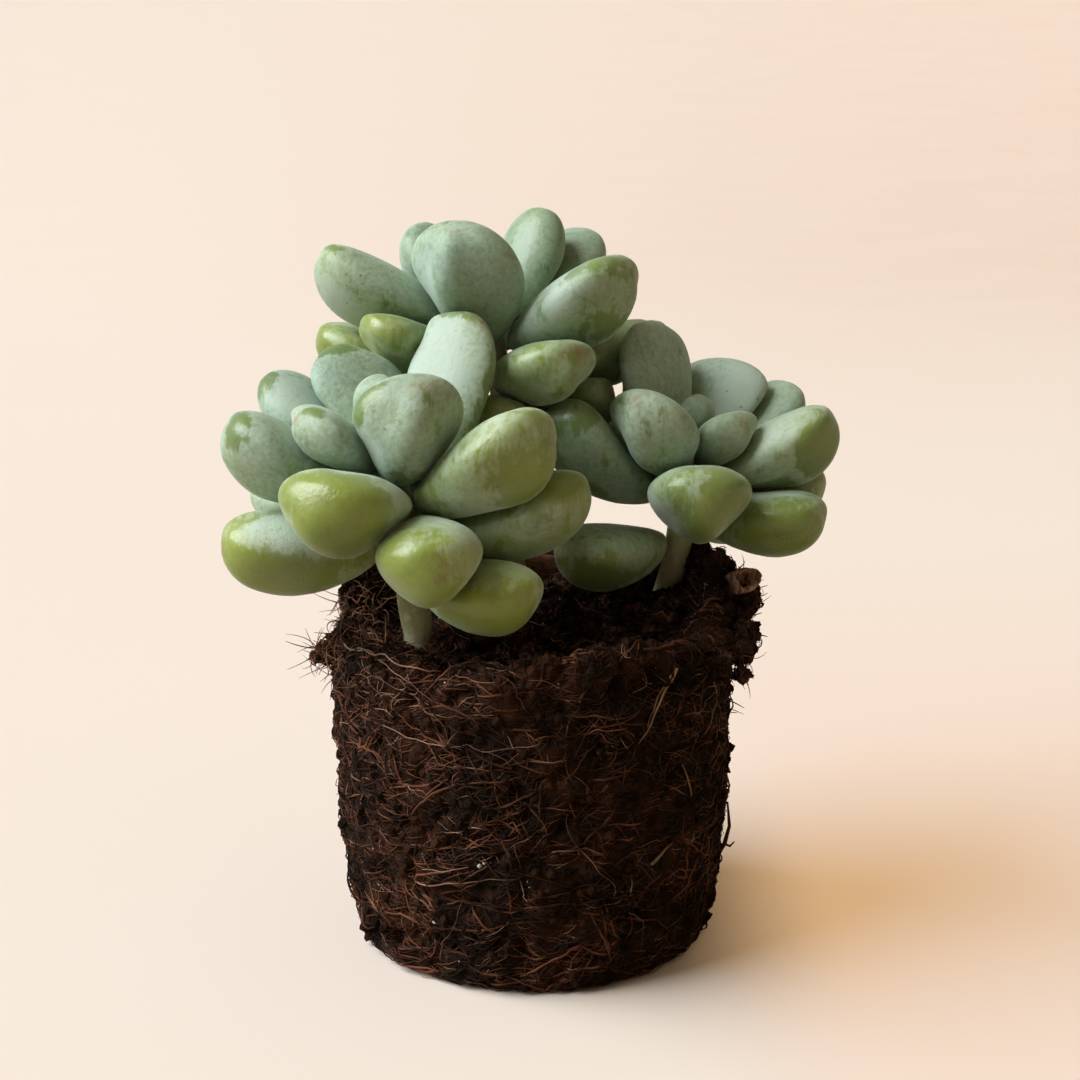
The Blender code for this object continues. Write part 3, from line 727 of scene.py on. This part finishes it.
yellow_share = leaf_skin.math("ADD", yellowness, leaf_skin.fit(broad, 0.3, 0.7, -0.18, 0.18))
flesh = leaf_skin.mix(yellow_share, (0.088, 0.170, 0.045), (0.285, 0.350, 0.038))
flesh = leaf_skin.mix(
    leaf_skin.fit(mottle, 0.45, 0.75, 0.0, 0.30), flesh, (0.130, 0.165, 0.028)
)
need = leaf_skin.math("SUBTRACT", rubbing, leaf_skin.fit(patch, 0.28, 0.72, -0.32, 0.32))
need = leaf_skin.math("SUBTRACT", need, leaf_skin.fit(streaks, 0.3, 0.7, -0.20, 0.20))
rubbed = leaf_skin.fit(need, 0.22, 0.74)
# The waxy bloom's cover; painted sheen is added to it below, at edge-on places and in the pale
# marks.
dust_and_sheen = leaf_skin.math("MULTIPLY", bloom, leaf_skin.fit(grain, 0.30, 0.62, 0.66, 1.08))
dust_and_sheen = leaf_skin.math("MULTIPLY", dust_and_sheen, leaf_skin.fit(mottle, 0.3, 0.7, 1.06, 0.76))
dust_and_sheen = leaf_skin.math("MULTIPLY", dust_and_sheen, leaf_skin.fit(rubbed, 0.0, 1.0, 1.0, 0.14))
# Painted sheen: the bloom is made paler where the leaf turns edge-on to the view, in place of the
# window's sheen on the wax.
edge_on = leaf_skin.tree.nodes.new("ShaderNodeLayerWeight")
edge_on.inputs["Blend"].default_value = 0.32
grazing_sheen = leaf_skin.fit(edge_on.outputs["Facing"], 0.30, 0.95, 0.0, 0.50)
dust_and_sheen = leaf_skin.math("ADD", dust_and_sheen, grazing_sheen)
# Pale marks: partly paler bloom, partly painted highlights where the window's reflection falls.
chalk_and_sheen = leaf_skin.math("MULTIPLY", paling_and_sheen, leaf_skin.fit(patch, 0.35, 0.65, 0.25, 0.90))
dust_and_sheen = leaf_skin.math("ADD", dust_and_sheen, chalk_and_sheen)
bloom_tint = leaf_skin.mix(yellow_share, (0.410, 0.540, 0.450), (0.520, 0.600, 0.390))
bloom_tint = leaf_skin.mix(chalk_and_sheen, bloom_tint, (0.530, 0.620, 0.540))
skin = leaf_skin.mix(leaf_skin.math("MINIMUM", dust_and_sheen, 0.94), flesh, bloom_tint)

tip_rim = leaf_skin.fit(
    leaf_skin.math("ADD", along, leaf_skin.fit(patch, 0.3, 0.7, -0.012, 0.012)), 0.975, 1.0
)
brown_share = leaf_skin.math("MULTIPLY", tip_rim, leaf_skin.fit(mottle, 0.45, 0.65, 0.0, 0.5))
brown_share = leaf_skin.math(
    "MAXIMUM", brown_share,
    leaf_skin.math("MULTIPLY", browning, leaf_skin.fit(patch, 0.35, 0.6, 0.25, 0.9)),
)
skin = leaf_skin.mix(brown_share, skin, (0.300, 0.150, 0.070))
pits = leaf_skin.spots(430.0)
pit_mask = leaf_skin.math(
    "MULTIPLY", leaf_skin.fit(pits, 0.05, 0.11, 1.0, 0.0), leaf_skin.fit(broad, 0.48, 0.58)
)
skin = leaf_skin.mix(leaf_skin.math("MULTIPLY", pit_mask, 0.55), skin, (0.070, 0.055, 0.025))
leaf_skin.colour(skin).roughness(leaf_skin.fit(dust_and_sheen, 0.1, 0.8, 0.34, 0.62))
leaf_skin.wire(leaf_skin.fit(dust_and_sheen, 0.2, 0.7, 0.30, 0.0), leaf_skin.shader.inputs["Coat Weight"])
leaf_skin.relief(leaf_skin.math("ADD", grain, leaf_skin.math("MULTIPLY", patch, 0.8)), 0.00012)

CROWNS = {
    "left": Vector((-15.9, -9.3, 60.0)) * MM,
    "right": Vector((20.9, 11.3, 58.0)) * MM,
    "back": Vector((-4.7, 14.2, 76.0)) * MM,
}


def rounded_mesh(shape, name, levels):
    """The mesh an edit mesh becomes when its faces are smoothly subdivided."""
    maker = bpy.data.objects.new(name, mesh_from(shape, name))
    bpy.context.scene.collection.objects.link(maker)
    rounding = maker.modifiers.new("rounding", "SUBSURF")
    rounding.levels = rounding.render_levels = levels
    bpy.context.view_layer.update()
    mesh = bpy.data.meshes.new_from_object(
        maker.evaluated_get(bpy.context.evaluated_depsgraph_get())
    )
    bpy.data.objects.remove(maker)
    return mesh


def ease(value, low, high):
    """0 below low, 1 above high and smooth between, for arrays."""
    share = np.clip((value - low) / (high - low), 0.0, 1.0)
    return share * share * (3.0 - 2.0 * share)


def dress_leaf(node, crown, tint):
    """A leaf's fine mesh: keeled below, flatter above, with its bloom and marks stored on it."""
    shape = welded_copy(node, join=False)
    shape.verts.ensure_lookup_table()
    ends = sorted(shape.verts, key=lambda vert: -len(vert.link_edges))[:2]
    ends.sort(key=lambda vert: (vert.co - crown).length)
    base, tip = (np.array(end.co) for end in ends)
    bmesh.ops.join_triangles(
        shape, faces=shape.faces, angle_face_threshold=0.7, angle_shape_threshold=0.9,
    )
    mesh = rounded_mesh(shape, node + "_skin", 2)
    many = len(mesh.vertices)
    flat = np.empty(many * 3)
    mesh.vertices.foreach_get("co", flat)
    places = flat.reshape(-1, 3)
    reach = np.linalg.norm(tip - base)
    direction = (tip - base) / reach
    share = np.clip((places - base) @ direction / reach, 0.0, 1.0)

    steps = np.linspace(0.08, 0.92, 8)
    middles = []
    for step in steps:
        weight = np.exp(-((share - step) / 0.07) ** 2)[:, None]
        centre = (places * weight).sum(axis=0) / weight.sum()
        middles.append(centre + direction * (step - ((centre - base) @ direction) / reach) * reach)
    steps = np.concatenate([[0.0], steps, [1.0]])
    middles = np.array([base, *middles, tip])
    spine = np.stack([np.interp(share, steps, middles[:, axis]) for axis in range(3)], axis=-1)

    inward = np.array([crown.x, crown.y, 0.0]) - tip * (1.0, 1.0, 0.0)
    inward /= max(np.linalg.norm(inward), 0.001)
    above = np.array([0.0, 0.0, 1.0]) + 0.6 * inward
    above -= direction * (above @ direction)
    above /= np.linalg.norm(above)
    sideways = np.cross(direction, above)
    spread = places - spine
    distance = np.maximum(np.linalg.norm(spread, axis=1), 1e-7)
    height = spread @ above / distance
    side = spread @ sideways / distance
    turn = np.degrees(np.arctan2(height, side))

    def ridge(angle, width):
        apart = np.abs((turn - angle + 180.0) % 360.0 - 180.0)
        return np.exp(-(apart / width) ** 2)

    outer = ease(share, 0.25, 0.75)
    keel = tint[3] * outer
    shaping = 1.0 + 0.13 * keel * (ridge(-90, 26) - 0.75 * (ridge(-42, 26) + ridge(-138, 26)))
    shaping -= 0.10 * outer * ridge(90, 42)
    shaping += 0.045 * outer * (ridge(4, 20) + ridge(176, 20))
    lumps = np.array([
        noise.noise(Vector(place) * 150.0) * 0.20 + noise.noise(Vector(place) * 420.0) * 0.05
        for place in places
    ]) * MM
    size = np.clip(reach / (18.0 * MM), 0.35, 1.0)
    longer = distance * shaping + (0.16 * MM + lumps) * size
    places = spine + spread / distance[:, None] * longer[:, None]
    mesh.vertices.foreach_set("co", places.ravel())

    marks = {"green": np.zeros(many), "pale": np.zeros(many), "brown": np.zeros(many)}
    facing = spread / distance[:, None]
    for leaf, kind, where, run, toward, wide, strength in LEAF_MARKS:
        if leaf != node:
            continue
        toward = np.array(toward) / np.linalg.norm(toward)
        apart = np.degrees(np.arccos(np.clip(facing @ toward, -1.0, 1.0)))
        near_it = np.sqrt((apart / wide) ** 2 + ((share - where) / run) ** 2)
        marks[kind] = np.maximum(marks[kind], strength * (1.0 - ease(near_it, 0.55, 1.25)))
    rub = tint[2] + 0.12 * ease(share, 0.75, 1.0)
    rub = np.clip(rub * (1.0 - 0.8 * marks["pale"]) + marks["green"], 0.0, 1.3)
    for key, numbers in (
        ("along", share), ("yellowness", tint[0] + 0.16 * ease(share, 0.6, 1.0)),
        ("bloom", np.full(many, tint[1])), ("rubbing", rub),
        ("paling_and_sheen", marks["pale"]), ("browning", marks["brown"]),
    ):
        stored = mesh.attributes.new(key, "FLOAT", "POINT")
        stored.data.foreach_set("value", numbers.astype(np.float32))
    return mesh


for rosette, tints in LEAF_TINTS.items():
    for number, tint in enumerate(tints, start=1):
        node = f"{rosette}_leaf_{number:02d}"
        piece(node + "_skin", dress_leaf(node, CROWNS[rosette], tint), leaf_skin.material,
              "leaf", node)


# ---- Bark chip: a flake of composted bark lying on the soil behind, between the stems.  It
# is the frame's own flake with its corners rounded off and a grain along its length.

bark = Finish("bark").set(Specular_IOR_Level=0.3)
bark_grain = bark.noise(1.0, 4.0, 0.6, place=bark.stretched((500.0, 1600.0, 1600.0)))
bark.colour(bark.mix(
    bark.fit(bark_grain, 0.35, 0.7), (0.130, 0.050, 0.030), (0.330, 0.150, 0.100)
))
bark.roughness(0.85).relief(bark_grain, 0.0004)
chip_mesh = mesh_from(welded_copy("bark_chip"), "bark_chip_skin")
chip = piece("bark_chip_skin", chip_mesh, bark.material, "bark", "bark_chip")
chip_rounding = chip.modifiers.new("rounding", "SUBSURF")
chip_rounding.levels = chip_rounding.render_levels = 2


# ---- Dry stub: a dead hollow stalk, papery and tan, lying on the rim at the right.  It is
# the frame's short tube, dented and torn a little all over.

straw = Finish("dry_stalk").set(Specular_IOR_Level=0.3)
straw_grain = straw.noise(1.0, 4.0, 0.6, place=straw.stretched((1500.0, 500.0, 500.0)))
straw.colour(straw.mix(
    straw.fit(straw_grain, 0.35, 0.7), (0.170, 0.065, 0.040), (0.640, 0.400, 0.300)
))
straw.roughness(0.8).relief(straw_grain, 0.0003)


def dent(place):
    """A push in some direction at a place, the same on every run."""
    return Vector([noise.noise(place + Vector((shift, 0.0, 0.0))) for shift in (0.0, 31.0, 57.0)])


stub_mesh = rounded_mesh(welded_copy("dry_stub"), "dry_stub_skin", 3)
for vert in stub_mesh.vertices:
    vert.co += (dent(vert.co * 330.0) * 0.75 + dent(vert.co * 1100.0) * 0.28) * MM
piece("dry_stub_skin", stub_mesh, straw.material, "dry_stalk", "dry_stub")


# ---- Studio: a pale cream floor that curves gently up all round, one broad soft window light
# from the left and a little in front, and a warm low fill.  A faint glow painted on the
# floor warms the shade on the right.

FLOOR_FLAT, FLOOR_RISE, FLOOR_CURVE = 0.8, 0.055, 1.8
WINDOW_STRENGTH, WINDOW_SPREAD = 4.9, 52.0

floor_finish = Finish("floor_paint").set(Specular_IOR_Level=0.1, Roughness=0.9)
floor_place = floor_finish.tree.nodes.new("ShaderNodeSeparateXYZ")
floor_finish.wire(floor_finish.place, floor_place.inputs["Vector"])
floor_depth = floor_finish.tree.nodes.new("ShaderNodeMath")
floor_depth.operation = "ADD"
floor_finish.wire(
    floor_finish.math("MAXIMUM", floor_place.outputs["Y"], -0.15), floor_depth.inputs[0]
)
floor_depth.inputs[1].default_value = 0.27
floor_side = floor_finish.math("DIVIDE", floor_place.outputs["X"], floor_depth.outputs["Value"])
# Painted shade: the floor's colour darkens and warms towards the right and the far back, away from
# the window.
floor_shade_right = floor_finish.fit(floor_side, -0.28, 0.30)
floor_far = floor_finish.fit(floor_place.outputs["Y"], 0.15, 0.9)
floor_paint = floor_finish.mix(floor_shade_right, (0.855, 0.742, 0.650), (0.830, 0.715, 0.610))
floor_paint_far = floor_finish.mix(floor_shade_right, (0.870, 0.750, 0.650), (0.785, 0.615, 0.505))
floor_paint = floor_finish.mix(floor_far, floor_paint, floor_paint_far)
floor_cloud = floor_finish.noise(14.0, 2.0)
floor_paint = floor_finish.mix(
    floor_finish.fit(floor_cloud, 0.3, 0.7, 0.0, 0.20), floor_paint, (0.830, 0.720, 0.620)
)
# Painted light: a warm orange glow, seen only by the camera, fills the shadow to the right of the
# ball; the paint under it is darker so the unshadowed floor keeps its colour.
floor_glow = floor_finish.math(
    "MULTIPLY", floor_finish.fit(floor_place.outputs["X"], 0.016, 0.044),
    floor_finish.fit(floor_place.outputs["X"], 0.12, 0.38, 1.0, 0.0),
)
floor_glow = floor_finish.math(
    "MULTIPLY", floor_glow, floor_finish.fit(floor_place.outputs["Y"], 0.06, 0.24, 1.0, 0.0)
)
floor_ray = floor_finish.tree.nodes.new("ShaderNodeLightPath")
floor_glow = floor_finish.math("MULTIPLY", floor_glow, floor_ray.outputs["Is Camera Ray"])
# Painted shade: for light it passes on, the floor is a darker brown than it shows the camera,
# which keeps the plant's shaded sides dark.
floor_finish.colour(floor_finish.mix(
    floor_ray.outputs["Is Camera Ray"], (0.39, 0.32, 0.24),
    floor_finish.mix(floor_glow, floor_paint, (0.275, 0.345, 0.410)),
))
floor_finish.wire(
    floor_finish.mix(floor_glow, (0.0, 0.0, 0.0), (0.630, 0.370, 0.175)),
    floor_finish.shader.inputs["Emission Color"],
)
floor_finish.set(Emission_Strength=1.0)
floor_shape = bmesh.new()
floor_line = [
    floor_shape.verts.new((reach, 0.0, FLOOR_RISE * max(0.0, reach - FLOOR_FLAT) ** FLOOR_CURVE))
    for reach in (0.0, 0.4, 0.8, 1.1, 1.4, 1.8, 2.3, 2.9, 3.6, 4.4, 5.3, 6.3)
]
floor_edges = [floor_shape.edges.new(pair) for pair in zip(floor_line, floor_line[1:])]
bmesh.ops.spin(
    floor_shape, geom=floor_line + floor_edges, cent=(0, 0, 0), axis=(0, 0, 1),
    angle=math.tau, steps=96, use_merge=True,
)
bmesh.ops.remove_doubles(floor_shape, verts=floor_shape.verts, dist=0.0001)
bmesh.ops.recalc_face_normals(floor_shape, faces=floor_shape.faces)
floor_shape.faces.ensure_lookup_table()
if floor_shape.faces[0].normal.z < 0:
    bmesh.ops.reverse_faces(floor_shape, faces=floor_shape.faces)
floor_mesh = mesh_from(floor_shape, "floor")
floor_mesh.materials.append(floor_finish.material)
floor = bpy.data.objects.new("floor", floor_mesh)
bpy.context.scene.collection.objects.link(floor)

window_data = bpy.data.lights.new("window", "SUN")
window_data.energy = WINDOW_STRENGTH
window_data.angle = math.radians(WINDOW_SPREAD)
window_data.color = (0.90, 0.95, 1.0)
window = bpy.data.objects.new("window", window_data)
window.rotation_mode = "QUATERNION"
window.rotation_quaternion = Vector((0.97, 0.15, -0.80)).to_track_quat("-Z", "Y")
bpy.context.scene.collection.objects.link(window)

world = bpy.data.worlds.new("room")
bpy.context.scene.world = world
world.use_nodes = True
room = world.node_tree
room_light = room.nodes["Background"]
room_light.inputs["Strength"].default_value = 1.0
room_way = room.nodes.new("ShaderNodeTexCoord")
room_split = room.nodes.new("ShaderNodeSeparateXYZ")
room.links.new(room_way.outputs["Generated"], room_split.inputs["Vector"])
room_height = room.nodes.new("ShaderNodeMapRange")
room_height.interpolation_type = "SMOOTHSTEP"
room.links.new(room_split.outputs["Z"], room_height.inputs["Value"])
room_height.inputs["From Min"].default_value = 0.35
room_height.inputs["From Max"].default_value = 0.85
room_tone = room.nodes.new("ShaderNodeMix")
room_tone.data_type = "RGBA"
room.links.new(room_height.outputs["Result"], room_tone.inputs[0])
room_tone.inputs[6].default_value = (0.070, 0.038, 0.018, 1.0)
room_tone.inputs[7].default_value = (0.32, 0.265, 0.18, 1.0)
room.links.new(room_tone.outputs[2], room_light.inputs["Color"])
room_seen = room.nodes.new("ShaderNodeBackground")
room_seen.inputs["Color"].default_value = (0.95, 0.80, 0.68, 1.0)
room_seen.inputs["Strength"].default_value = 1.0
ray = room.nodes.new("ShaderNodeLightPath")
either = room.nodes.new("ShaderNodeMixShader")
room.links.new(ray.outputs["Is Camera Ray"], either.inputs["Fac"])
room.links.new(room_light.outputs["Background"], either.inputs[1])
room.links.new(room_seen.outputs["Background"], either.inputs[2])
room.links.new(either.outputs["Shader"], room.nodes["World Output"].inputs["Surface"])
bpy.context.scene.view_settings.view_transform = "Standard"

camera_data = bpy.data.cameras.new("camera")
camera_data.lens = 67.67
camera_data.sensor_width = 36.0
camera_data.clip_start = 0.01
camera_data.clip_end = 20.0
camera = bpy.data.objects.new("camera", camera_data)
camera.location = (0.0009, -0.2619, 0.1195)
camera.rotation_euler = (math.radians(76.0), 0.0, 0.0)
bpy.context.scene.collection.objects.link(camera)
bpy.context.scene.camera = camera
